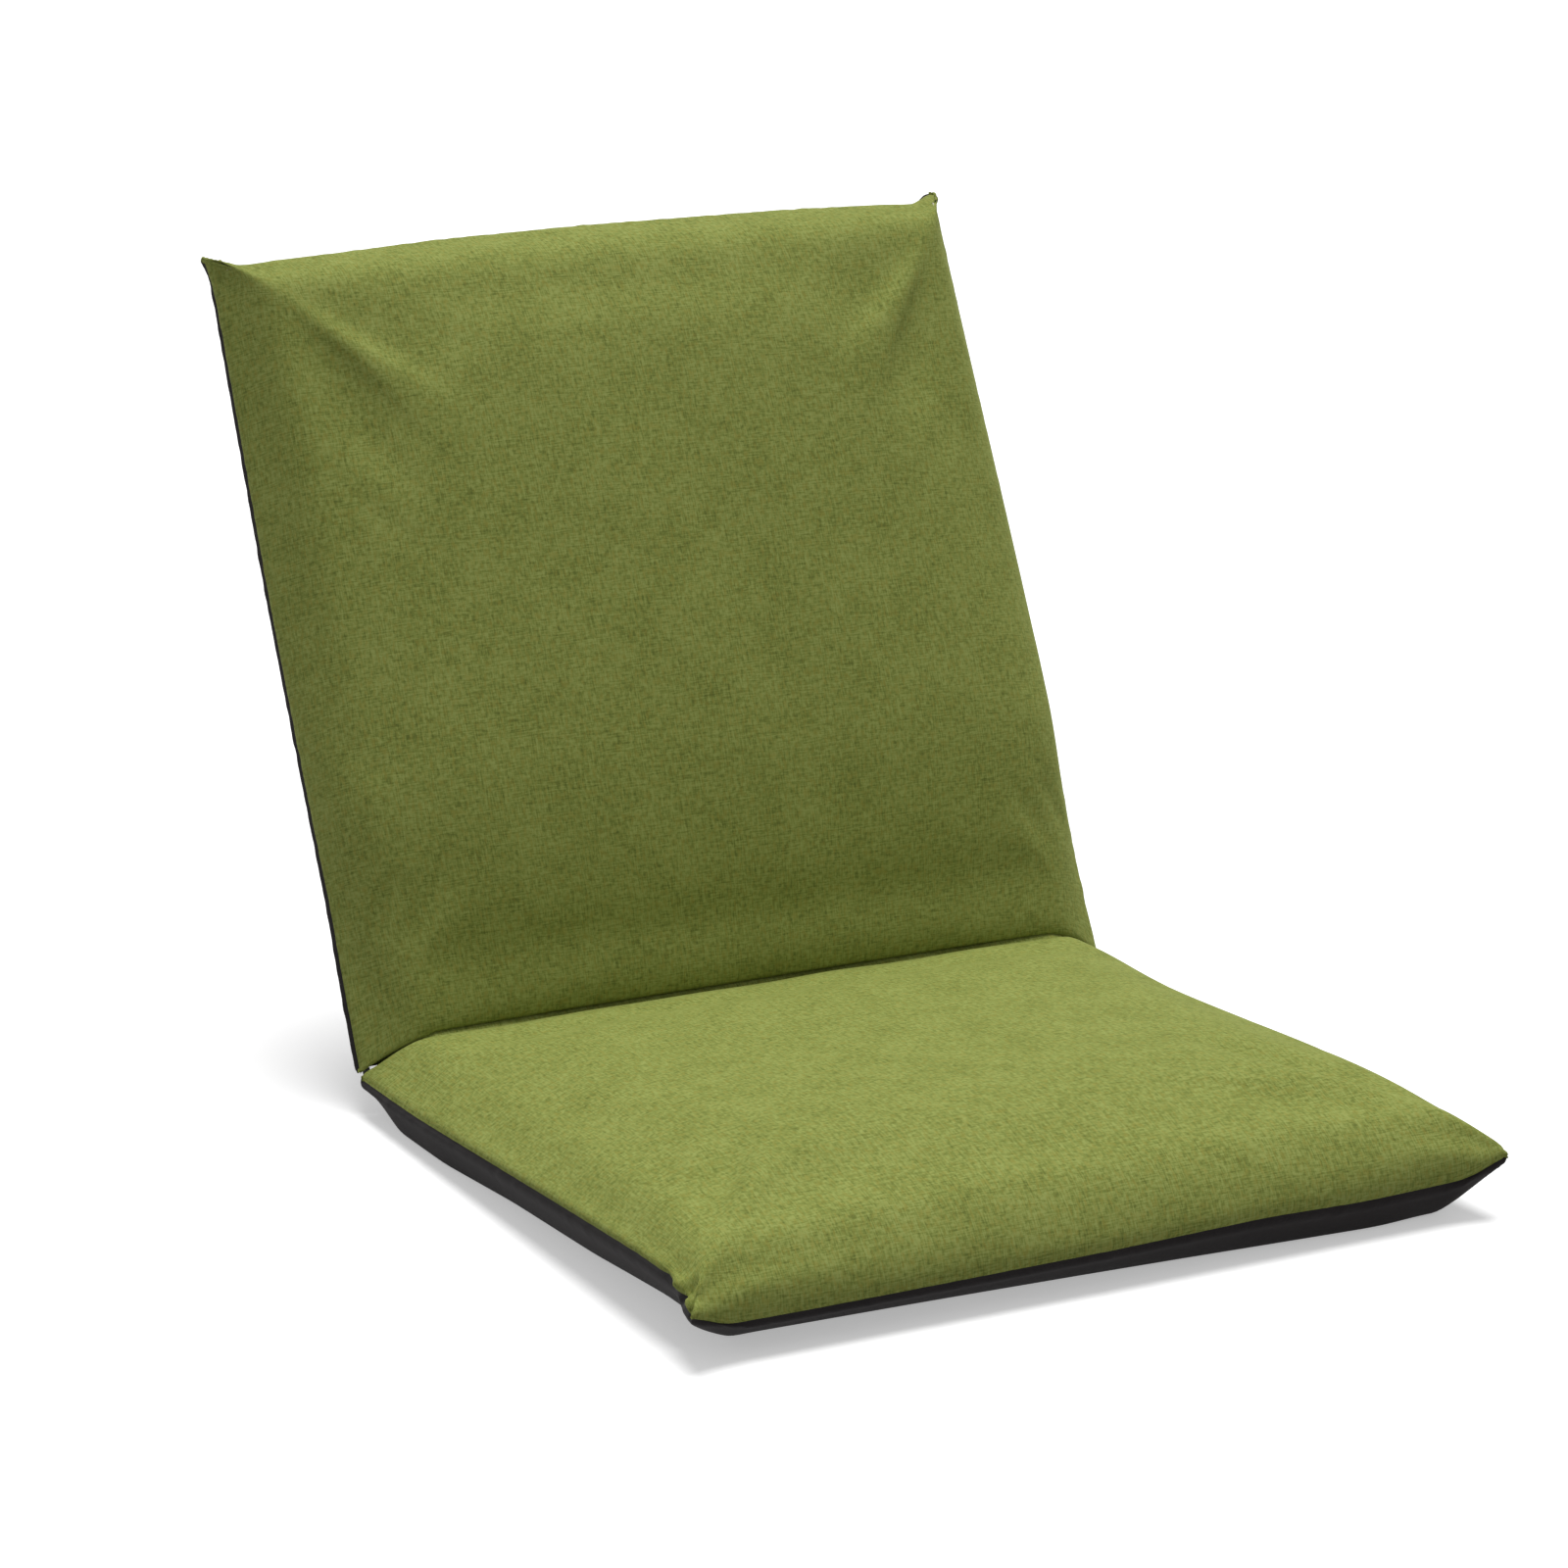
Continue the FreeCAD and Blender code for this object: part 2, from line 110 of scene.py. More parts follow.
# The foam, drawn in from the seams, the far corners and the ends at the hinge
FOAM_GAP = 0.7
FOAM_SEAM_INSET = 9.0
FOAM_CORNER_REACH = 38.0
FOAM_CORNER_INSET = 34.0
FOAM_CORNER_HEIGHT = 24.0
FOAM_END_INNER = 220.0
FOAM_END_REACH = 24.0
FOAM_END_SHIFT = (7.0, 12.0)
FOAM_END_HEIGHT = 28.0
WELL_MARGIN = 17.0
WELL_FAR = 29.0

# What folds: the plane above which a pad gives way, and how much of it stays
CAP_ANGLE = 9.0
SLEEVE_RADIUS = 21.7
SLEEVE_HALF = 224.0
SLEEVE_REACH = 33.0
SLEEVE_BLEND = 2.5
POUCH_RADIUS = 29.4

# Mesh and cloth
ACROSS = 100
ALONG = 84
WALL_ROWS = 6
CLOTH_FRAMES = 20
PRESSURE = 4.0
SWELL_LIMIT = 6.0
FULLNESS = 1.01
HOLD_NEAR_HINGE = 26.0
HOLD_REACH = 60.0
HOLD_FLOOR = 8.0
SEAM_HOLD = 0.9
SEAM_HOLD_WIDTH = 9.0
FACE, BASE, WALL = 0, 1, 2
WALL_ROUND_HALF = 220.0
WALL_OPEN_HALF = 220.0
FAR_FROM_SEAM = 99.0


# Numbers and lines
def gaussian(x, width):
    return np.exp(-((x / width) ** 2))


def smooth(x):
    x = np.clip(x, 0, 1)
    return x * x * (3 - 2 * x)


def curve(x, keys):
    """A soft curve through pairs of (place, value)."""
    places = np.array([k[0] for k in keys], float)
    values = np.array([k[1] for k in keys], float)
    fine = np.linspace(places[0], places[-1], 400)
    line = np.interp(fine, places, values)
    width = 400 * 0.02
    reach = np.arange(-24, 25)
    weights = gaussian(reach, width)
    weights /= weights.sum()
    padded = np.pad(line, 24, mode="reflect", reflect_type="odd")
    return np.interp(x, fine, np.convolve(padded, weights, mode="valid"))


def arc_points(start, middle, end, count=60):
    """Points on the circle arc through three points of a plane."""
    ax, ay = start
    bx, by = middle
    cx, cy = end
    d = 2 * (ax * (by - cy) + bx * (cy - ay) + cx * (ay - by))
    ox = ((ax**2 + ay**2) * (by - cy) + (bx**2 + by**2) * (cy - ay) + (cx**2 + cy**2) * (ay - by)) / d
    oy = ((ax**2 + ay**2) * (cx - bx) + (bx**2 + by**2) * (ax - cx) + (cx**2 + cy**2) * (bx - ax)) / d
    angles = np.unwrap([math.atan2(y - oy, x - ox) for x, y in (start, middle, end)])
    turn = np.linspace(angles[0], angles[2], count)
    radius = math.hypot(ax - ox, ay - oy)
    return np.column_stack([ox + radius * np.cos(turn), oy + radius * np.sin(turn)])


def even(points, count, soften=0):
    """The same line with evenly spaced points, its bends rounded a little."""
    def spread(line, number):
        step = np.hypot(*np.diff(line, axis=0).T)
        place = np.concatenate([[0], np.cumsum(step)])
        wanted = np.linspace(0, place[-1], number)
        return np.column_stack([np.interp(wanted, place, line[:, k]) for k in (0, 1)]), place[-1]

    line, length = spread(np.vstack(points), 400)
    for _ in range(soften):
        line[1:-1] += 0.25 * (line[:-2] + line[2:] - 2 * line[1:-1])
    line, length = spread(line, count + 1)
    return line, length


def soft_least(f, g, n=4.0):
    """A soft least of two heights: where one is 1 it gives the other."""
    f = np.clip(f, 1e-4, 1)
    g = np.clip(g, 1e-4, 1)
    return (f**-n + g**-n - 1) ** (-1 / n)


def end_profile(nose, shoulder, swell, crown):
    """Half of a pad's end outline and its mirror image, seam to seam, and the half's length."""
    turn = (HALF - shoulder[0], shoulder[1])
    edge = arc_points((HALF, SEAM_BASE), (HALF - nose[0], nose[1]), turn)
    top = arc_points(turn, (HALF / 2, swell), (0.0, crown))
    line, length = even([edge, top], ACROSS // 2, soften=30)
    return np.vstack([line * [-1, 1], line[-2::-1]]), length


# The two pads
def by_side(x, place, lines):
    """The value on the left side's line or the right side's, whichever side x is on."""
    return np.where(x < 0, curve(place, lines[0]), curve(place, lines[1]))


@dataclass
class Pad:
    """One padded cover. A pair of lines holds the left side's and the right side's."""

    name: str
    length: float
    place: object
    near_crease: tuple
    crown: float
    full_along: float
    tip_radius: float
    seam_side: tuple
    seam_front: tuple
    half_side: tuple
    front_line: tuple
    foot_side: tuple
    foot_front: tuple
    folds: tuple

    def seam(self, x, u, near_side, near_front):
        """The nearest seam's height, the half width there and how far the pad reaches."""
        side = by_side(x, u, self.seam_side)
        front = curve(x, self.seam_front)
        near_side = near_side + 1e-6
        height = (side * near_side + front * near_front) / (near_side + near_front)
        return height, by_side(x, u, self.half_side), curve(x, self.front_line)

    def top(self):
        """The face cloth over the foam, as rows from the crease to the free end."""
        length = self.length
        rise = CROWN - SEAM_BASE
        dip = (CREASE_GAP + (DIP_HEIGHT - PIVOT_HEIGHT) * LEAN, DIP_HEIGHT)
        roll = (ROLL_ALONG, self.near_crease[0])
        shoulder = (SHOULDER_ALONG, self.near_crease[1])
        lip = (length - LIP_FAR, LIP_HEIGHT)
        nose = (length - NOSE_FAR, NOSE_HEIGHT)
        side_line, along_length = even(
            [
                arc_points(dip, roll, shoulder),
                arc_points(shoulder, (CROWN_SHARE * length, self.crown), lip),
                arc_points(lip, nose, (length, SEAM_BASE)),
            ],
            ALONG,
            soften=60,
        )
        full, half_length = end_profile(FULL_NOSE, FULL_SHOULDER, FULL_SWELL, CROWN)
        low, _ = end_profile(CREASE_NOSE, CREASE_SHOULDER, CREASE_SWELL, CREASE_CROWN)
        along_u, along_v = side_line[:, :1], side_line[:, 1:]
        share = smooth(along_u / self.full_along)
        x = low[:, 0] + (full - low)[:, 0] * share
        across_v = low[:, 1] + (full - low)[:, 1] * share
        u = along_u + 0 * x
        f = (across_v - SEAM_BASE) / rise
        g = (along_v - SEAM_BASE) / rise
        whole = (full[:, 1] - SEAM_BASE) / rise
        near_side = (1 - np.clip(whole, 0, 1)) ** 2 + 0 * g
        near_front = (1 - np.clip(g, 0, 1)) ** 2 * (along_u > length / 2) + 0 * f
        height, half, ahead = self.seam(x, u, near_side, near_front)
        fall = np.clip(1 - np.minimum(whole, g), 0, 1) ** 1.5
        level = FULLNESS * soft_least(f, g, 8.0)
        v = SEAM_BASE + (height - SEAM_BASE) * fall + level * rise
        x = x * (1 + (half / HALF - 1) * np.clip(1 - whole, 0, 1) ** 1.2)
        far_share = np.clip((u - length / 2) / (length / 2), 0, 1)
        u = u + (ahead - length) * far_share**2 * np.clip(1 - g, 0, 1)
        crease_u = CREASE_GAP + (v[0] - PIVOT_HEIGHT) * LEAN
        u = u + (crease_u - u[0]) * gaussian(along_u - side_line[0, 0], CREASE_REACH)
        p = np.linspace(-half_length, half_length, ACROSS + 1) + 0 * u
        q = np.linspace(0, along_length, ALONG + 1)[:, None] + 0 * u
        seam_gap = np.minimum(half_length - np.abs(p), along_length - q)
        return np.stack([x, u, v], -1), np.stack([p, q, seam_gap], -1)

    def base(self, rim):
        """The base cloth, as rows from the hinge to the free end, below the rim of the top."""
        a = np.linspace(-1, 1, ACROSS + 1)[None, :]
        b = np.linspace(0, 1, ALONG + 1)[:, None]
        left, right = a < 0, a >= 0
        rim_half = np.abs(rim[:, :1, 0]) * left + np.abs(rim[:, -1:, 0]) * right
        rim_side = rim[:, :1, 2] * left + rim[:, -1:, 2] * right
        rim_u = rim[-1:, :, 1]
        rim_front = rim[-1:, :, 2]
        t = (1 - np.abs(a)) / SIDE_SHARE + 0 * b
        s = (1 - b) / FRONT_SHARE + 0 * a
        r = b / REAR_SHARE + 0 * a
        foot_side = by_side(a, b * self.length + 0 * a, self.foot_side)
        foot_front = curve(a * HALF + 0 * b, self.foot_front)
        side_left = 1 - np.clip((t - 1) * SIDE_SHARE / (1 - SIDE_SHARE), 0, 1)
        x = np.where(
            t < 1,
            rim_half - foot_side * np.clip(t, 0, 1) ** TUCK,
            (rim_half - foot_side) * side_left,
        )
        x = np.sign(a) * x
        far = rim_u - foot_front
        middle = np.clip(b / (1 - FRONT_SHARE), 0, 1)
        u = np.where(
            s < 1,
            rim_u - foot_front * np.clip(s, 0, 1) ** TUCK,
            CREASE_GAP + (far - CREASE_GAP) * middle,
        )
        f = 1 - (1 - np.clip(t, 0, 1)) ** DROP
        g = 1 - (1 - np.clip(s, 0, 1)) ** DROP
        heel = 1 - (1 - np.clip(r, 0, 1)) ** 2 * (HEEL_HEIGHT / SEAM_BASE)
        depth = soft_least(soft_least(f, g), heel)
        near_side = (1 - f) ** 2
        near_front = (1 - g) ** 2
        near = near_side + near_front
        rim_here = (rim_side * near_side + rim_front * near_front) / (near + 1e-9)
        rim_here = np.where(near < 1e-6, rim_side, rim_here)
        v = rim_here * (1 - depth)
        raised = rim_here - HEEL_BELOW_SEAM
        heel_lift = (1 - smooth(u / HEEL_REACH)) * smooth((np.abs(x) - HEEL_INNER) / HEEL_WIDTH)
        v = v + (raised - v) * heel_lift * (v < raised) * HEEL_RISE
        return np.stack([x, u, v], -1)


def cushion_mesh(pad):
    """The whole closed cushion: top, base and the round wall about the hinge, welded at the seam."""
    top, top_cloth = pad.top()
    base = pad.base(top)
    rows, columns = top.shape[:2]
    points = [top.reshape(-1, 3)]
    cloths = [top_cloth.reshape(-1, 3)]
    top_index = np.arange(rows * columns).reshape(rows, columns)
    base_index = top_index.copy()
    inside = (slice(0, rows - 1), slice(1, columns - 1))
    count = (rows - 1) * (columns - 2)
    base_index[inside] = rows * columns + np.arange(count).reshape(rows - 1, columns - 2)
    points.append(base[inside].reshape(-1, 3))
    cloths.append(top_cloth[inside].reshape(-1, 3))
    total = rows * columns + count
    faces, kinds = [], []

    def add_quads(low, high, kind):
        for i in range(len(low) - 1):
            corners = [low[i], low[i + 1], high[i + 1], high[i]]
            unique = list(dict.fromkeys(int(c) for c in corners))
            if len(unique) > 2:
                faces.append(unique)
                kinds.append(kind)

    def around_pivot(line):
        rise = line[:, 2] - PIVOT_HEIGHT
        return np.arctan2(rise, line[:, 1]), np.hypot(rise, line[:, 1])

    for j in range(rows - 1):
        add_quads(top_index[j], top_index[j + 1], FACE)
        add_quads(base_index[j + 1], base_index[j], BASE)
    upper = points[0][top_index[0][1:-1]]
    lower = np.vstack(points)[base_index[0][1:-1]]
    upper_turn, upper_radius = around_pivot(upper)
    lower_turn, lower_radius = around_pivot(lower)
    previous = top_index[0]
    for k in range(1, WALL_ROWS):
        share = k / WALL_ROWS
        turn = upper_turn + (lower_turn - upper_turn) * share
        radius = upper_radius + (lower_radius - upper_radius) * share
        straight = upper * (1 - share) + lower * share
        x = straight[:, 0]
        ring = np.column_stack([x, radius * np.cos(turn), PIVOT_HEIGHT + radius * np.sin(turn)])
        solid = smooth((np.abs(x) - WALL_ROUND_HALF) / 4)[:, None]
        ring = ring + (straight - ring) * solid
        added = total + np.arange(columns - 2)
        current = np.concatenate([top_index[0, :1], added, top_index[0, -1:]])
        points.append(ring)
        cloths.append(np.column_stack([x, -40.0 * share + 0 * x, FAR_FROM_SEAM + 0 * x]))
        total += columns - 2
        add_quads(current, previous, WALL)
        previous = current
    add_quads(base_index[0], previous, WALL)
    points = np.vstack(points)
    for number, face in enumerate(faces):
        x, _, v = np.abs(points[face]).mean(axis=0)
        if kinds[number] == WALL and x > WALL_OPEN_HALF:
            kinds[number] = FACE if v > SEAM_BASE - 4 else BASE
    return points, np.vstack(cloths), faces, kinds


def make_object(name, points, faces, kinds=None, cloths=None):
    mesh = bpy.data.meshes.new(name)
    mesh.from_pydata([tuple(p) for p in points], [], [tuple(f) for f in faces])
    if kinds is not None:
        mesh.polygons.foreach_set("material_index", np.array(kinds, np.int32))
    if cloths is not None:
        attribute = mesh.attributes.new("cloth", "FLOAT_VECTOR", "POINT")
        attribute.data.foreach_set("vector", np.asarray(cloths, np.float32).ravel())
    mesh.polygons.foreach_set("use_smooth", np.ones(len(mesh.polygons), bool))
    mesh.update()
    thing = bpy.data.objects.new(name, mesh)
    bpy.context.scene.collection.objects.link(thing)
    return thing


def outward(thing):
    bm = bmesh.new()
    bm.from_mesh(thing.data)
    if bm.calc_volume(signed=True) < 0:
        bmesh.ops.reverse_faces(bm, faces=bm.faces)
    bm.to_mesh(thing.data)
    bm.free()


def coordinates(mesh):
    co = np.zeros(len(mesh.vertices) * 3, np.float32)
    mesh.vertices.foreach_get("co", co)
    return co.reshape(-1, 3).astype(float)


def vertex_normals(mesh):
    normals = np.zeros(len(mesh.vertices) * 3, np.float32)
    mesh.vertex_normals.foreach_get("vector", normals)
    return normals.reshape(-1, 3).astype(float)


def vector_attribute(mesh, name):
    values = np.zeros(len(mesh.vertices) * 3, np.float32)
    mesh.attributes[name].data.foreach_get("vector", values)
    return values.reshape(-1, 3).astype(float)


def put(mesh, points):
    mesh.vertices.foreach_set("co", np.asarray(points, np.float32).ravel())
    mesh.update()


def baked(thing):
    """The object's mesh with its modifiers applied."""
    view = bpy.context.evaluated_depsgraph_get()
    mesh = bpy.data.meshes.new_from_object(thing.evaluated_get(view), depsgraph=view)
    thing.modifiers.clear()
    thing.data = mesh
    return mesh


def simulate(thing, hold):
    """Lets air pressure swell the cover. hold is 1 where the cloth is held and 0 where it is free."""
    start = coordinates(thing.data)
    group = thing.vertex_groups.new(name="held")
    for index, weight in enumerate(hold):
        if weight > 0.001:
            group.add([index], float(weight), "REPLACE")
    modifier = thing.modifiers.new("cloth", "CLOTH")
    settings = modifier.settings
    settings.quality = 6
    settings.mass = 0.3
    settings.tension_stiffness = 25
    settings.compression_stiffness = 20
    settings.shear_stiffness = 8
    settings.bending_stiffness = 2
    settings.vertex_group_mass = "held"
    settings.use_pressure = True
    settings.uniform_pressure_force = PRESSURE
    settings.effector_weights.gravity = 0
    modifier.point_cache.frame_start = 1
    modifier.point_cache.frame_end = CLOTH_FRAMES
    scene = bpy.context.scene
    for step in range(1, CLOTH_FRAMES + 1):
        scene.frame_set(step)
    view = bpy.context.evaluated_depsgraph_get()
    swollen = thing.evaluated_get(view).to_mesh()
    end = coordinates(swollen)
    thing.evaluated_get(view).to_mesh_clear()
    thing.modifiers.clear()
    thing.vertex_groups.clear()
    scene.frame_set(1)
    shift = end - start
    far = np.linalg.norm(shift, axis=1) / MM
    shift *= (SWELL_LIMIT * np.tanh(far / SWELL_LIMIT) / np.maximum(far, 1e-6))[:, None]
    put(thing.data, start + shift * (1 - hold)[:, None])


def waves(place, lengths, seed):
    """A smooth wandering line: a few sines whose lengths have no common measure."""
    random = np.random.default_rng(seed)
    total = 0
    for length in lengths:
        total = total + np.sin(2 * math.pi * place / length + random.uniform(0, 6.28))
    return total / len(lengths)


def crease_fold(side_gap, end_gap, start, end, height, width):
    """A short raised or sunken fold in the cloth from one place to another, fading at its far end."""
    along = np.array(end, float) - np.array(start, float)
    length = np.hypot(*along)
    along /= length
    ds, de = side_gap - start[0], end_gap - start[1]
    run = ds * along[0] + de * along[1]
    off = -ds * along[1] + de * along[0]
    fade = smooth((run + 4) / 6) * smooth((length - run) / (0.7 * length))
    return height * gaussian(off, width) * fade


def neighbours(mesh):
    edges = np.zeros(len(mesh.edges) * 2, np.int32)
    mesh.edges.foreach_get("vertices", edges)
    return edges.reshape(-1, 2)


def relax(points, edges, amount, steps):
    """Draws each point towards the middle of its neighbours, as far as amount says."""
    count = np.zeros(len(points))
    np.add.at(count, edges[:, 0], 1)
    np.add.at(count, edges[:, 1], 1)
    for _ in range(steps):
        total = np.zeros_like(points)
        np.add.at(total, edges[:, 0], points[edges[:, 1]])
        np.add.at(total, edges[:, 1], points[edges[:, 0]])
        points = points + amount[:, None] * (total / count[:, None] - points)
    return points


def gaps(cloths):
    """How far each place of the cloth is from the side seam and from the free end's seam."""
    side_gap = np.abs(cloths[:, 0]).max() - np.abs(cloths[:, 0])
    return side_gap, cloths[:, 1].max() - cloths[:, 1]


def details(pad, mesh):
    """Seam, puckers and folds on the finer surface."""
    points = coordinates(mesh) / MM
    cloths = vector_attribute(mesh, "cloth")
    kinds = kinds_of(mesh)
    on_top = np.zeros(len(points), bool)
    on_wall = np.zeros(len(points), bool)
    for polygon in mesh.polygons:
        if kinds[polygon.index] == FACE:
            on_top[list(polygon.vertices)] = True
        elif kinds[polygon.index] == WALL:
            on_wall[list(polygon.vertices)] = True
    side_gap, end_gap = gaps(cloths)
    tips = gaussian(np.hypot(side_gap, end_gap), pad.tip_radius)
    points = relax(points, neighbours(mesh), 0.5 * tips, 12)
    put(mesh, points * MM)
    normals = vertex_normals(mesh)
    gap = cloths[:, 2]
    seam_dent = -1.5 * gaussian(gap, 2.2)
    seam_roll = 0.6 * gaussian(gap - 7, 4.5)
    along_seam = np.where(side_gap < end_gap, cloths[:, 1], cloths[:, 0] + 37)
    strength = 0.6 + 0.4 * waves(along_seam, (83.0, 131.0), 5)
    ripple = waves(along_seam, (11.3, 17.9, 26.7), 3) * strength * gaussian(gap - 5, 6.0)
    sway = waves(cloths[:, 0] + 0.3 * cloths[:, 1], (97.0, 141.0), 7) * smooth(gap / 30)
    shift = seam_dent + seam_roll + 0.45 * ripple + 0.5 * on_top * sway
    for left, start, end, height, width in pad.folds:
        side = cloths[:, 0] * left < 0
        shift += on_top * side * crease_fold(side_gap, end_gap, start, end, height, width)
    shift *= ~on_wall
    points = points + normals * shift[:, None]
    points[:, 2] = np.maximum(points[:, 2], 0)
    put(mesh, points * MM)


def cushion(pad):
    """The cushion's surface in its own laid-flat frame, swollen, made finer and given its details."""
    points, cloths, faces, kinds = cushion_mesh(pad)
    thing = make_object(pad.name + "_cushion", points * MM, faces, kinds, cloths)
    outward(thing)
    u, v = points[:, 1], points[:, 2]
    from_pivot = np.hypot(u, v - PIVOT_HEIGHT)
    by_hinge = 1 - smooth((from_pivot - HOLD_NEAR_HINGE) / HOLD_REACH)
    by_floor = 1 - smooth(v / HOLD_FLOOR)
    by_seam = SEAM_HOLD * gaussian(cloths[:, 2], SEAM_HOLD_WIDTH)
    hold = np.maximum(np.maximum(by_hinge, by_floor), by_seam)
    simulate(thing, np.clip(hold, 0, 1))
    modifier = thing.modifiers.new("finer", "SUBSURF")
    modifier.levels = 1
    modifier.render_levels = 1
    details(pad, baked(thing))
    return thing


def kinds_of(mesh):
    kinds = np.zeros(len(mesh.polygons), np.int32)
    mesh.polygons.foreach_get("material_index", kinds)
    return kinds


def turned(place, points, normals):
    """The normals as they point once the points are in place."""
    tip = place(points + normals) - place(points)
    return tip / np.maximum(np.linalg.norm(tip, axis=1), 1e-12)[:, None]


def keep_normals(thing, normals):
    """Stores the shading normals with the mesh, so that a cut doesn't show in them."""
    mesh = thing.data
    attribute = mesh.attributes.get("leaning") or mesh.attributes.new("leaning", "FLOAT_VECTOR", "POINT")
    attribute.data.foreach_set("vector", np.asarray(normals, np.float32).ravel())
    mesh.normals_split_custom_set_from_vertices([tuple(n) for n in normals])


def part_of(thing, kind_wanted):
    """Points, normals, cloth places and faces of one kind of the cushion's surface."""
    mesh = thing.data
    points = coordinates(mesh) / MM
    normals = vertex_normals(mesh)
    cloths = vector_attribute(mesh, "cloth")
    kinds = kinds_of(mesh)
    faces = [tuple(p.vertices) for p in mesh.polygons if kinds[p.index] in kind_wanted]
    used = sorted({v for f in faces for v in f})
    renumber = {v: i for i, v in enumerate(used)}
    faces = [tuple(renumber[v] for v in f) for f in faces]
    return points[used], normals[used], cloths[used], faces


def skin(name, points, normals, cloths, faces, place, depth):
    """A closed skin of cloth, as thick as depth, whose outside has the given points."""
    count = len(points)
    sides = {}
    for f in faces:
        for a, b in zip(f, f[1:] + f[:1]):
            if (b, a) in sides:
                del sides[(b, a)]
            else:
                sides[(a, b)] = True
    all_faces = list(faces)
    all_faces += [tuple(reversed([v + count for v in f])) for f in faces]
    all_faces += [(b, a, a + count, b + count) for a, b in sides]
    everything = np.vstack([points, points - normals * depth])
    piece = make_object(name, place(everything), all_faces, None, np.vstack([cloths] * 2))
    outward(piece)
    leaning = turned(place, points, normals)
    keep_normals(piece, np.vstack([leaning, -leaning]))
    return piece


def foam_block(thing, name, pad):
    """The foam under the cover, hollowed below for the frame, bands and felt."""
    points, normals, cloths, faces = part_of(thing, (FACE, BASE, WALL))
    inner = points - normals * (CLOTH + FOAM_GAP)
    side_gap, end_gap = gaps(cloths)
    sides = np.sign(inner[:, 0])
    inner[:, 0] -= sides * FOAM_SEAM_INSET * gaussian(side_gap, FOAM_SEAM_INSET)
    inner[:, 1] -= FOAM_SEAM_INSET * gaussian(end_gap, FOAM_SEAM_INSET)
    rounding = 1 - smooth(np.hypot(side_gap, end_gap) / FOAM_CORNER_REACH)
    corner = np.column_stack(
        [
            sides * (HALF - FOAM_CORNER_INSET),
            0 * sides + pad.length - FOAM_CORNER_INSET,
            0 * sides + FOAM_CORNER_HEIGHT,
        ]
    )
    inner += (corner - inner) * rounding[:, None]
    rear = smooth((np.abs(inner[:, 0]) - FOAM_END_INNER) / 14) * (1 - smooth(inner[:, 1] / FOAM_END_REACH))
    inner_way, along_way = FOAM_END_SHIFT
    rise = 0.4 * (FOAM_END_HEIGHT - inner[:, 2])
    inner += np.column_stack([-inner_way * sides, along_way + 0 * sides, rise]) * rear[:, None]
    below = inner[:, 2] < FOAM_FLOOR
    inside = smooth((RAIL_X + WELL_MARGIN - np.abs(inner[:, 0])) / 5)
    inside = inside * smooth((pad.length - WELL_FAR - inner[:, 1]) / 5)
    inner[:, 2] += below * inside * (FOAM_FLOOR - inner[:, 2]) * (inner[:, 1] > 3)
    piece = make_object(name, pad.place(inner), faces, None, cloths)
    outward(piece)
    keep_normals(piece, vertex_normals(piece.data))
    return piece


def split_cap(piece, name, body):
    """Cuts off what has to give way when the back folds down, as a piece of its own."""
    turn = math.radians(CAP_ANGLE)
    if body == "seat":
        normal = Vector((0, math.sin(turn), math.cos(turn)))
    else:
        lean = math.radians(REST_TURN) + turn
        normal = Vector((0, -math.sin(lean), math.cos(lean)))
    anchor = Vector((0, HINGE_Y * MM, PIVOT_HEIGHT * MM))
    bm = bmesh.new()
    bm.from_mesh(piece.data)
    bmesh.ops.bisect_plane(
        bm, geom=bm.verts[:] + bm.edges[:] + bm.faces[:], dist=1e-6, plane_co=anchor, plane_no=normal
    )
    cap_mesh = bpy.data.meshes.new(name)
    halves = ((bm.copy(), cap_mesh, 1), (bm, piece.data, -1))
    for half, mesh, side in halves:
        wrong = [f for f in half.faces if side * (f.calc_center_median() - anchor).dot(normal) < 0]
        bmesh.ops.delete(half, geom=wrong, context="FACES")
        half.to_mesh(mesh)
        half.free()
    cap = bpy.data.objects.new(name, cap_mesh)
    bpy.context.scene.collection.objects.link(cap)
    for material in piece.data.materials:
        cap_mesh.materials.append(material)
    for half in (piece, cap):
        keep_normals(half, vector_attribute(half.data, "leaning"))
    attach(cap, body)
    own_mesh(cap)
    return cap


# Places on the chair
def on_seat(points):
    return np.column_stack([points[:, 0], HINGE_Y - points[:, 1], points[:, 2]]) * MM


def on_back(points):
    turn = math.radians(REST_TURN)
    rise = points[:, 2] - PIVOT_HEIGHT
    y = HINGE_Y + points[:, 1] * math.cos(turn) - rise * math.sin(turn)
    z = PIVOT_HEIGHT + points[:, 1] * math.sin(turn) + rise * math.cos(turn)
    return np.column_stack([points[:, 0], y, z]) * MM


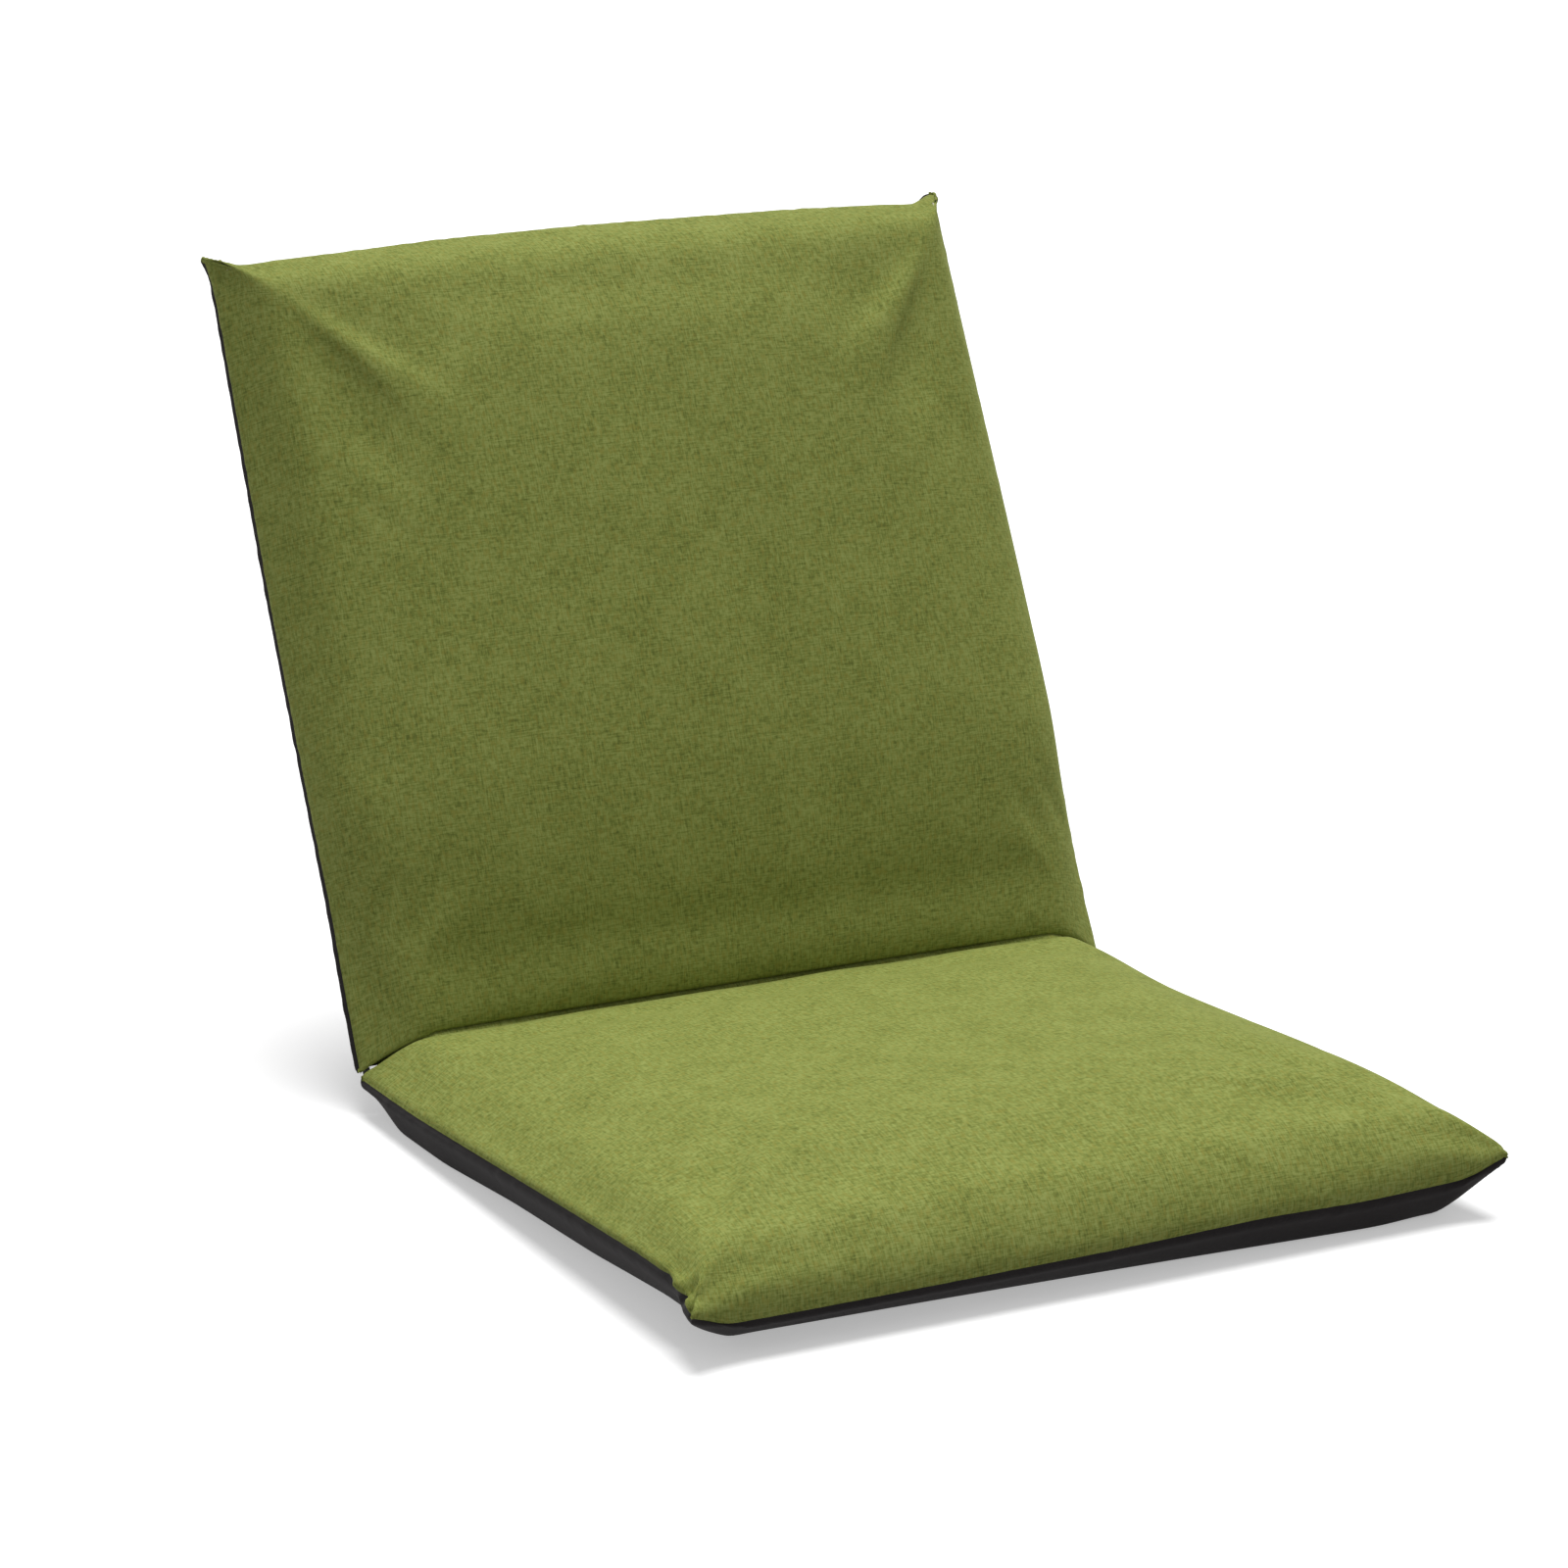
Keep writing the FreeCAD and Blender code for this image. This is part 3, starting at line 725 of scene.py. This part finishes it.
seat_pad = Pad(
    name="seat",
    length=SEAT_DEPTH,
    place=on_seat,
    near_crease=(54.0, 58.0),
    crown=78.0,
    full_along=430.0,
    tip_radius=13.0,
    seam_side=(
        ((0, 22), (80, 24), (170, 29), (280, 35), (380, 40), (430, 41), (446, 36), (460, 31)),
        ((0, 22), (80, 24), (170, 28), (280, 32), (380, 36), (430, 37), (446, 37), (460, 36)),
    ),
    seam_front=((-262, 31), (-242, 20), (-206, 20), (0, 22), (105, 24), (170, 22), (240, 23), (262, 36)),
    half_side=(
        ((0, 262), (200, 260), (400, 257), (430, 257), (460, 264)),
        ((0, 262), (200, 261), (400, 260), (430, 260), (460, 265)),
    ),
    front_line=((-262, 462), (-235, 456), (0, 458), (235, 456), (262, 462)),
    foot_side=(
        ((0, 8), (100, 10), (180, 20), (270, 26), (350, 36), (460, 38)),
        ((0, 8), (100, 10), (180, 20), (270, 24), (350, 30), (460, 34)),
    ),
    foot_front=((-262, 40), (-200, 37), (-100, 33), (0, 28), (100, 20), (180, 14), (230, 20), (262, 40)),
    folds=(
        (1, (0, 52), (30, 38), 2.6, 4.4),
        (1, (0, 41), (32, 27), -4.0, 4.6),
        (1, (0, 68), (22, 60), -1.4, 5.5),
        (1, (2, 13), (32, 18), -4.6, 4.6),
        (1, (3, 3), (34, 8), 1.8, 5.0),
        (-1, (0, 34), (24, 26), -1.8, 4.2),
        (-1, (0, 43), (22, 35), 1.1, 3.8),
        (-1, (2, 12), (26, 14), -1.6, 4.5),
    ),
)
back_pad = Pad(
    name="back",
    length=BACK_LENGTH,
    place=on_back,
    near_crease=(59.0, 66.0),
    crown=80.0,
    full_along=170.0,
    tip_radius=9.0,
    seam_side=(
        ((0, 24), (60, 20), (200, 18), (516, 18)),
        ((0, 24), (60, 20), (200, 18), (516, 18)),
    ),
    seam_front=((-262, 18), (0, 18), (262, 18)),
    half_side=(
        ((0, 262), (100, 259), (300, 259), (470, 256), (500, 256), (516, 260)),
        ((0, 262), (100, 260), (300, 260), (470, 256), (500, 256), (516, 260)),
    ),
    front_line=(
        (-262, 519), (-253, 519), (-243, 505), (-225, 509), (-100, 515), (0, 516),
        (150, 514), (225, 510), (243, 506), (253, 519), (262, 519),
    ),
    foot_side=(
        ((0, 10), (100, 12), (400, 14), (516, 16)),
        ((0, 10), (100, 12), (400, 14), (516, 16)),
    ),
    foot_front=((-262, 16), (0, 20), (262, 16)),
    folds=(
        (1, (12, 4), (34, 22), -2.6, 6.0),
        (1, (8, 26), (30, 34), -1.0, 5.0),
        (-1, (12, 4), (34, 22), -2.6, 6.0),
        (-1, (8, 30), (30, 38), -0.9, 5.0),
    ),
)


# Materials
def new_material(name):
    material = bpy.data.materials.new(name)
    material.use_nodes = True
    tree = material.node_tree
    shader = tree.nodes["Principled BSDF"]
    return material, tree, shader


class Nodes:
    """Short ways to add nodes to a material's tree."""

    def __init__(self, tree):
        self.tree = tree

    def add(self, kind, **values):
        node = self.tree.nodes.new(kind)
        for key, value in values.items():
            setattr(node, key, value)
        return node

    def join(self, a, b):
        self.tree.links.new(a, b)

    def math(self, operation, a, b=0.5, c=None):
        node = self.add("ShaderNodeMath", operation=operation)
        for slot, value in enumerate((a, b, c)):
            if value is None:
                continue
            if isinstance(value, (int, float)):
                node.inputs[slot].default_value = value
            else:
                self.join(value, node.inputs[slot])
        return node.outputs[0]

    def noise(self, vector, scale, detail=2.0, roughness=0.5):
        node = self.add("ShaderNodeTexNoise")
        node.inputs["Scale"].default_value = scale
        node.inputs["Detail"].default_value = detail
        node.inputs["Roughness"].default_value = roughness
        self.join(vector, node.inputs["Vector"])
        return node.outputs[0]

    def stretch(self, vector, factors):
        node = self.add("ShaderNodeVectorMath", operation="MULTIPLY")
        self.join(vector, node.inputs[0])
        node.inputs[1].default_value = factors
        return node.outputs[0]

    def ramp(self, value, stops):
        node = self.add("ShaderNodeValToRGB")
        ramp = node.color_ramp
        while len(ramp.elements) < len(stops):
            ramp.elements.new(0.5)
        for element, (place, colour) in zip(ramp.elements, stops):
            element.position = place
            element.color = (*colour, 1)
        self.join(value, node.inputs[0])
        return node.outputs[0]

    def mix(self, kind, factor, a, b):
        node = self.add("ShaderNodeMix", data_type="RGBA", blend_type=kind)
        for slot, value in ((0, factor), (6, a), (7, b)):
            if isinstance(value, (int, float)):
                node.inputs[slot].default_value = value
            elif isinstance(value, tuple):
                node.inputs[slot].default_value = (*value, 1)
            else:
                self.join(value, node.inputs[slot])
        return node.outputs[2]


def srgb(r, g, b):
    """A colour given as it looks on a screen, from 0 to 255, as the linear colour that gives it."""
    def line(c):
        c /= 255
        return c / 12.92 if c <= 0.04045 else ((c + 0.055) / 1.055) ** 2.4

    return (line(r), line(g), line(b))


def linen(name, dark, middle, light, yellow, pitch=0.9):
    """Melange linen: two sets of threads whose tone changes along their length."""
    material, tree, shader = new_material(name)
    n = Nodes(tree)
    cloth = n.add("ShaderNodeAttribute", attribute_name="cloth").outputs["Vector"]
    warp = n.noise(n.stretch(cloth, (1 / pitch, 0.09, 0)), 1.0, 3.0, 0.6)
    weft = n.noise(n.stretch(cloth, (0.09, 1 / pitch, 0)), 1.0, 3.0, 0.6)
    slub = n.noise(n.stretch(cloth, (0.35, 0.35, 0)), 1.0, 2.0, 0.6)
    cloud = n.noise(n.stretch(cloth, (0.03, 0.03, 0)), 1.0, 2.0, 0.5)
    threads = n.math("ADD", n.math("MULTIPLY", warp, 0.5), n.math("MULTIPLY", weft, 0.5))
    tone = n.math("ADD", n.math("MULTIPLY", threads, 0.62), n.math("MULTIPLY", slub, 0.28))
    tone = n.math("ADD", tone, n.math("MULTIPLY", cloud, 0.10))
    colour = n.ramp(tone, [(0.40, dark), (0.48, middle), (0.56, light)])
    hue = n.noise(n.stretch(cloth, (0.5, 0.16, 0)), 1.0, 2.0, 0.6)
    hue = n.math("MULTIPLY", n.math("SUBTRACT", hue, 0.48), 3.0)
    hue = n.math("MAXIMUM", n.math("MINIMUM", hue, 0.6), 0.0)
    colour = n.mix("MIX", hue, colour, yellow)
    n.join(colour, shader.inputs["Base Color"])
    bump = n.add("ShaderNodeBump")
    bump.inputs["Strength"].default_value = 0.5
    bump.inputs["Distance"].default_value = 0.0004
    n.join(threads, bump.inputs["Height"])
    n.join(bump.outputs[0], shader.inputs["Normal"])
    shader.inputs["Roughness"].default_value = 0.9
    shader.inputs["Specular IOR Level"].default_value = 0.2
    shader.inputs["Sheen Weight"].default_value = 0.25
    shader.inputs["Sheen Roughness"].default_value = 0.5
    shader.inputs["Sheen Tint"].default_value = (*light, 1)
    return material


def plain_weave(name, dark, light, pitch=0.7):
    """Thin plain-woven base cloth."""
    material, tree, shader = new_material(name)
    n = Nodes(tree)
    cloth = n.add("ShaderNodeAttribute", attribute_name="cloth").outputs["Vector"]
    warp = n.noise(n.stretch(cloth, (1 / pitch, 0.12, 0)), 1.0, 2.0, 0.6)
    weft = n.noise(n.stretch(cloth, (0.12, 1 / pitch, 0)), 1.0, 2.0, 0.6)
    cloud = n.noise(n.stretch(cloth, (0.02, 0.02, 0)), 1.0, 3.0, 0.6)
    threads = n.math("ADD", n.math("MULTIPLY", warp, 0.5), n.math("MULTIPLY", weft, 0.5))
    tone = n.math("ADD", n.math("MULTIPLY", threads, 0.7), n.math("MULTIPLY", cloud, 0.3))
    n.join(n.ramp(tone, [(0.35, dark), (0.65, light)]), shader.inputs["Base Color"])
    bump = n.add("ShaderNodeBump")
    bump.inputs["Strength"].default_value = 0.4
    bump.inputs["Distance"].default_value = 0.0003
    n.join(threads, bump.inputs["Height"])
    n.join(bump.outputs[0], shader.inputs["Normal"])
    shader.inputs["Roughness"].default_value = 0.9
    shader.inputs["Specular IOR Level"].default_value = 0.15
    shader.inputs["Sheen Weight"].default_value = 0.08
    return material


green = linen(
    "green_linen",
    srgb(100, 110, 48),
    srgb(129, 140, 67),
    srgb(154, 164, 90),
    srgb(147, 142, 64),
)
black = plain_weave("black_base_cloth", srgb(28, 25, 26), srgb(50, 46, 46))


def sponge(name, dark, light):
    """Pale open-celled foam."""
    material, tree, shader = new_material(name)
    n = Nodes(tree)
    cloth = n.add("ShaderNodeTexCoord").outputs["Object"]
    cells = n.noise(cloth, 900.0, 3.0, 0.7)
    n.join(n.ramp(cells, [(0.35, dark), (0.65, light)]), shader.inputs["Base Color"])
    shader.inputs["Roughness"].default_value = 0.95
    return material


def metal(name, dark, light, roughness, metallic):
    """Painted or plated steel with a slight unevenness."""
    material, tree, shader = new_material(name)
    n = Nodes(tree)
    place = n.add("ShaderNodeTexCoord").outputs["Object"]
    cloud = n.noise(place, 60.0, 4.0, 0.6)
    n.join(n.ramp(cloud, [(0.35, dark), (0.65, light)]), shader.inputs["Base Color"])
    rough = n.math("ADD", n.math("MULTIPLY", n.noise(place, 220.0, 3.0, 0.6), 0.2), roughness - 0.1)
    n.join(rough, shader.inputs["Roughness"])
    shader.inputs["Metallic"].default_value = metallic
    return material


def fibres(name, dark, light, factors):
    """Felt or webbing: fine fibres, drawn out one way by the factors."""
    material, tree, shader = new_material(name)
    n = Nodes(tree)
    place = n.stretch(n.add("ShaderNodeTexCoord").outputs["Object"], factors)
    strands = n.noise(place, 1.0, 4.0, 0.7)
    n.join(n.ramp(strands, [(0.35, dark), (0.65, light)]), shader.inputs["Base Color"])
    bump = n.add("ShaderNodeBump")
    bump.inputs["Strength"].default_value = 0.5
    bump.inputs["Distance"].default_value = 0.0004
    n.join(strands, bump.inputs["Height"])
    n.join(bump.outputs[0], shader.inputs["Normal"])
    shader.inputs["Roughness"].default_value = 0.9
    return material


foam = sponge("cream_foam", srgb(206, 198, 176), srgb(232, 226, 208))
paint = metal("grey_paint", srgb(58, 60, 62), srgb(72, 74, 76), 0.5, 0.0)
zinc = metal("zinc_plate", srgb(150, 152, 154), srgb(178, 180, 182), 0.38, 1.0)
dark_steel = metal("dark_steel", srgb(96, 98, 102), srgb(124, 126, 130), 0.42, 1.0)
spring_steel = metal("spring_steel", srgb(110, 112, 118), srgb(150, 152, 158), 0.3, 1.0)
felt = fibres("grey_felt", srgb(92, 92, 90), srgb(134, 134, 130), (900, 900, 900))
webbing = fibres("white_webbing", srgb(188, 186, 178), srgb(218, 216, 208), (300, 2200, 2200))
MATERIAL_OF = (
    ("seat_padding", foam),
    ("back_padding", foam),
    ("seat_felt", felt),
    ("back_felt", felt),
    ("seat_bands", webbing),
    ("back_bands", webbing),
    ("seat_frame_tube", paint),
    ("back_frame_tube", paint),
    ("seat_cross_tube", paint),
    ("back_cross_tube", paint),
    ("hinge_cheek", zinc),
    ("pivot_rivet", dark_steel),
    ("pawl_pin", dark_steel),
    ("pawl_spring", spring_steel),
    ("seat_rail_rivet", dark_steel),
    ("back_rail_rivet", dark_steel),
    ("ratchet_arm", zinc),
    ("pawl_left", dark_steel),
    ("pawl_right", dark_steel),
)
for node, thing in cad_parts.items():
    for start, material in MATERIAL_OF:
        if node.startswith(start):
            thing.data.materials.clear()
            thing.data.materials.append(material)


# Pieces of each pad
def dress(pad, body, rear_name):
    thing = cushion(pad)
    cover = skin(pad.name + "_cover", *part_of(thing, (FACE,)), pad.place, CLOTH)
    base = skin(pad.name + "_base_cover", *part_of(thing, (BASE,)), pad.place, CLOTH)
    block = foam_block(thing, pad.name + "_foam_block", pad)
    bpy.data.objects.remove(thing)
    for piece, material, node, slot in (
        (cover, green, pad.name + "_face_cloth", "face_cloth"),
        (base, black, rear_name, "base_cloth"),
        (block, foam, pad.name + "_foam", "foam"),
    ):
        piece.data.materials.append(material)
        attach(piece, body)
        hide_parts(node)
        if piece is base:
            continue
        cap = split_cap(piece, piece.name + "_crease", body)


def round_the_hinge(
    name, radius, angles, half, material, closed=False, end_length=8.0, end_drop=0.1
):
    """A strip of cloth bent about the hinge line, through the given angles in degrees."""
    across = np.linspace(-half, half, 121)
    lip = half + 0.4 - 0.1 * np.arange(3)
    across = np.concatenate([-lip, across, lip[::-1]])
    closing = np.ones(len(across))
    if closed:
        closing[:3] = (0.1, 0.5, 0.85)
        closing[-3:] = (0.85, 0.5, 0.1)
    end = smooth((half - np.abs(across)) / end_length)
    points, normals, cloths = [], [], []
    for angle in angles:
        turn = math.radians(angle)
        away = 0.2 * waves(across + 3 * angle, (37.0, 61.0), 11) * end
        r = (radius * (1 - end_drop * (1 - end)) + away) * closing
        y = HINGE_Y + r * math.cos(turn)
        z = PIVOT_HEIGHT + r * math.sin(turn)
        points.append(np.column_stack([across, y, z]))
        normals.append([(0, math.cos(turn), math.sin(turn))] * len(across))
        cloths.append([(x, radius * turn, 50) for x in across])
    rows, columns = len(angles), len(across)
    faces = [
        (j * columns + i, j * columns + i + 1, (j + 1) * columns + i + 1, (j + 1) * columns + i)
        for j in range(rows - 1)
        for i in range(columns - 1)
    ]

    def in_metres(given):
        return given * MM

    points, normals, cloths = np.vstack(points), np.vstack(normals), np.vstack(cloths)
    piece = skin(name, points, normals, cloths, faces, in_metres, CLOTH)
    piece.data.materials.append(material)
    return piece


def fold_pieces():
    """The pouch of base cloth behind the fold, and the face cloth's own turn inside the crease."""
    foot = REST_TURN - 90
    pouch = round_the_hinge(
        "fold_pouch", POUCH_RADIUS, np.linspace(-90, foot, 25), HINGE_ROOM, black,
        closed=True, end_length=26.0, end_drop=0.5,
    )
    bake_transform(pouch)
    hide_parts("fold_cloth")
    middle = 180 - OPEN_ANGLE / 2
    first, last = middle + SLEEVE_BLEND, middle - SLEEVE_BLEND
    angles = np.concatenate(
        [
            np.linspace(middle + SLEEVE_REACH, first, 12)[:-1],
            np.linspace(first, last, 14),
            np.linspace(last, middle - SLEEVE_REACH, 12)[1:],
        ]
    )
    sleeve = round_the_hinge("crease_sleeve", SLEEVE_RADIUS, angles, SLEEVE_HALF, green)
    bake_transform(sleeve)


dress(seat_pad, "seat", "seat_base_cloth")
dress(back_pad, "back", "back_rear_cloth")
fold_pieces()


# Stage, light and camera
SKY_LIGHT = 0.31
SUN_LIGHT = 2.45
SUN_FROM = (0.12, 0.15, 1.0)
SUN_ANGLE = 30.0
FLOOR_GLOW = 0.4
FLOOR_BOUNCE = 0.35
FLOOR_HALF = 12.0
FLOOR_HEIGHT = -0.0006
VIEW_AZIMUTH = -27.0
VIEW_ELEVATION = 16.2
VIEW_WIDTH = 16.7
VIEW_DISTANCE = 3.37
VIEW_RIGHT = 0.025
VIEW_UP = 0.146
CREASE_HEIGHT = 0.024


def seen_as_backdrop(n):
    """1 where the backdrop is looked at, mirrored or seen through, and 0 where it gives light."""
    path = n.add("ShaderNodeLightPath")
    direct = n.math("MAXIMUM", path.outputs["Is Camera Ray"], path.outputs["Is Glossy Ray"])
    return n.math("MAXIMUM", direct, path.outputs["Is Transmission Ray"])


def stage():
    corners = ((-1, -1), (1, -1), (1, 1), (-1, 1))
    points = [(x * FLOOR_HALF, y * FLOOR_HALF, FLOOR_HEIGHT) for x, y in corners]
    floor = make_object("floor", points, [(0, 1, 2, 3)])
    material, tree, shader = new_material("floor_white")
    shader.inputs["Base Color"].default_value = (0.9, 0.9, 0.9, 1)
    shader.inputs["Roughness"].default_value = 0.9
    shader.inputs["Specular IOR Level"].default_value = 0.0
    n = Nodes(tree)
    glow = n.add("ShaderNodeEmission")
    glow.inputs["Strength"].default_value = FLOOR_GLOW
    both = n.add("ShaderNodeAddShader")
    n.join(shader.outputs[0], both.inputs[0])
    n.join(glow.outputs[0], both.inputs[1])
    dim = n.add("ShaderNodeBsdfDiffuse")
    dim.inputs["Color"].default_value = (FLOOR_BOUNCE, FLOOR_BOUNCE, FLOOR_BOUNCE, 1)
    pick = n.add("ShaderNodeMixShader")
    n.join(seen_as_backdrop(n), pick.inputs[0])
    n.join(dim.outputs[0], pick.inputs[1])
    n.join(both.outputs[0], pick.inputs[2])
    n.join(pick.outputs[0], tree.nodes["Material Output"].inputs["Surface"])
    floor.data.materials.append(material)
    world = bpy.data.worlds.new("world")
    bpy.context.scene.world = world
    world.use_nodes = True
    n = Nodes(world.node_tree)
    background = world.node_tree.nodes["Background"]
    strength = n.math("ADD", n.math("MULTIPLY", seen_as_backdrop(n), 1 - SKY_LIGHT), SKY_LIGHT)
    n.join(strength, background.inputs["Strength"])
    background.inputs["Color"].default_value = (1, 1, 1, 1)
    sun = bpy.data.lights.new("key", "SUN")
    sun.energy = SUN_LIGHT
    sun.angle = math.radians(SUN_ANGLE)
    lamp = bpy.data.objects.new("key", sun)
    lamp.rotation_euler = Vector(SUN_FROM).to_track_quat("Z", "Y").to_euler()
    bpy.context.scene.collection.objects.link(lamp)


def camera():
    azimuth, elevation = math.radians(VIEW_AZIMUTH), math.radians(VIEW_ELEVATION)
    back = Vector(
        (
            math.sin(azimuth) * math.cos(elevation),
            -math.cos(azimuth) * math.cos(elevation),
            math.sin(elevation),
        )
    )
    right = Vector((math.cos(azimuth), math.sin(azimuth), 0))
    up = back.cross(right)
    data = bpy.data.cameras.new("camera")
    data.sensor_width = 36
    data.lens = data.sensor_width / 2 / math.tan(math.radians(VIEW_WIDTH / 2))
    data.clip_start = 0.05
    data.clip_end = 60
    thing = bpy.data.objects.new("camera", data)
    crease = Vector((0, HINGE_Y * MM, CREASE_HEIGHT))
    thing.location = crease + right * VIEW_RIGHT + up * VIEW_UP + back * VIEW_DISTANCE
    thing.rotation_euler = back.to_track_quat("Z", "Y").to_euler()
    bpy.context.scene.collection.objects.link(thing)
    bpy.context.scene.camera = thing


stage()
camera()
bpy.context.scene.view_settings.view_transform = "Standard"
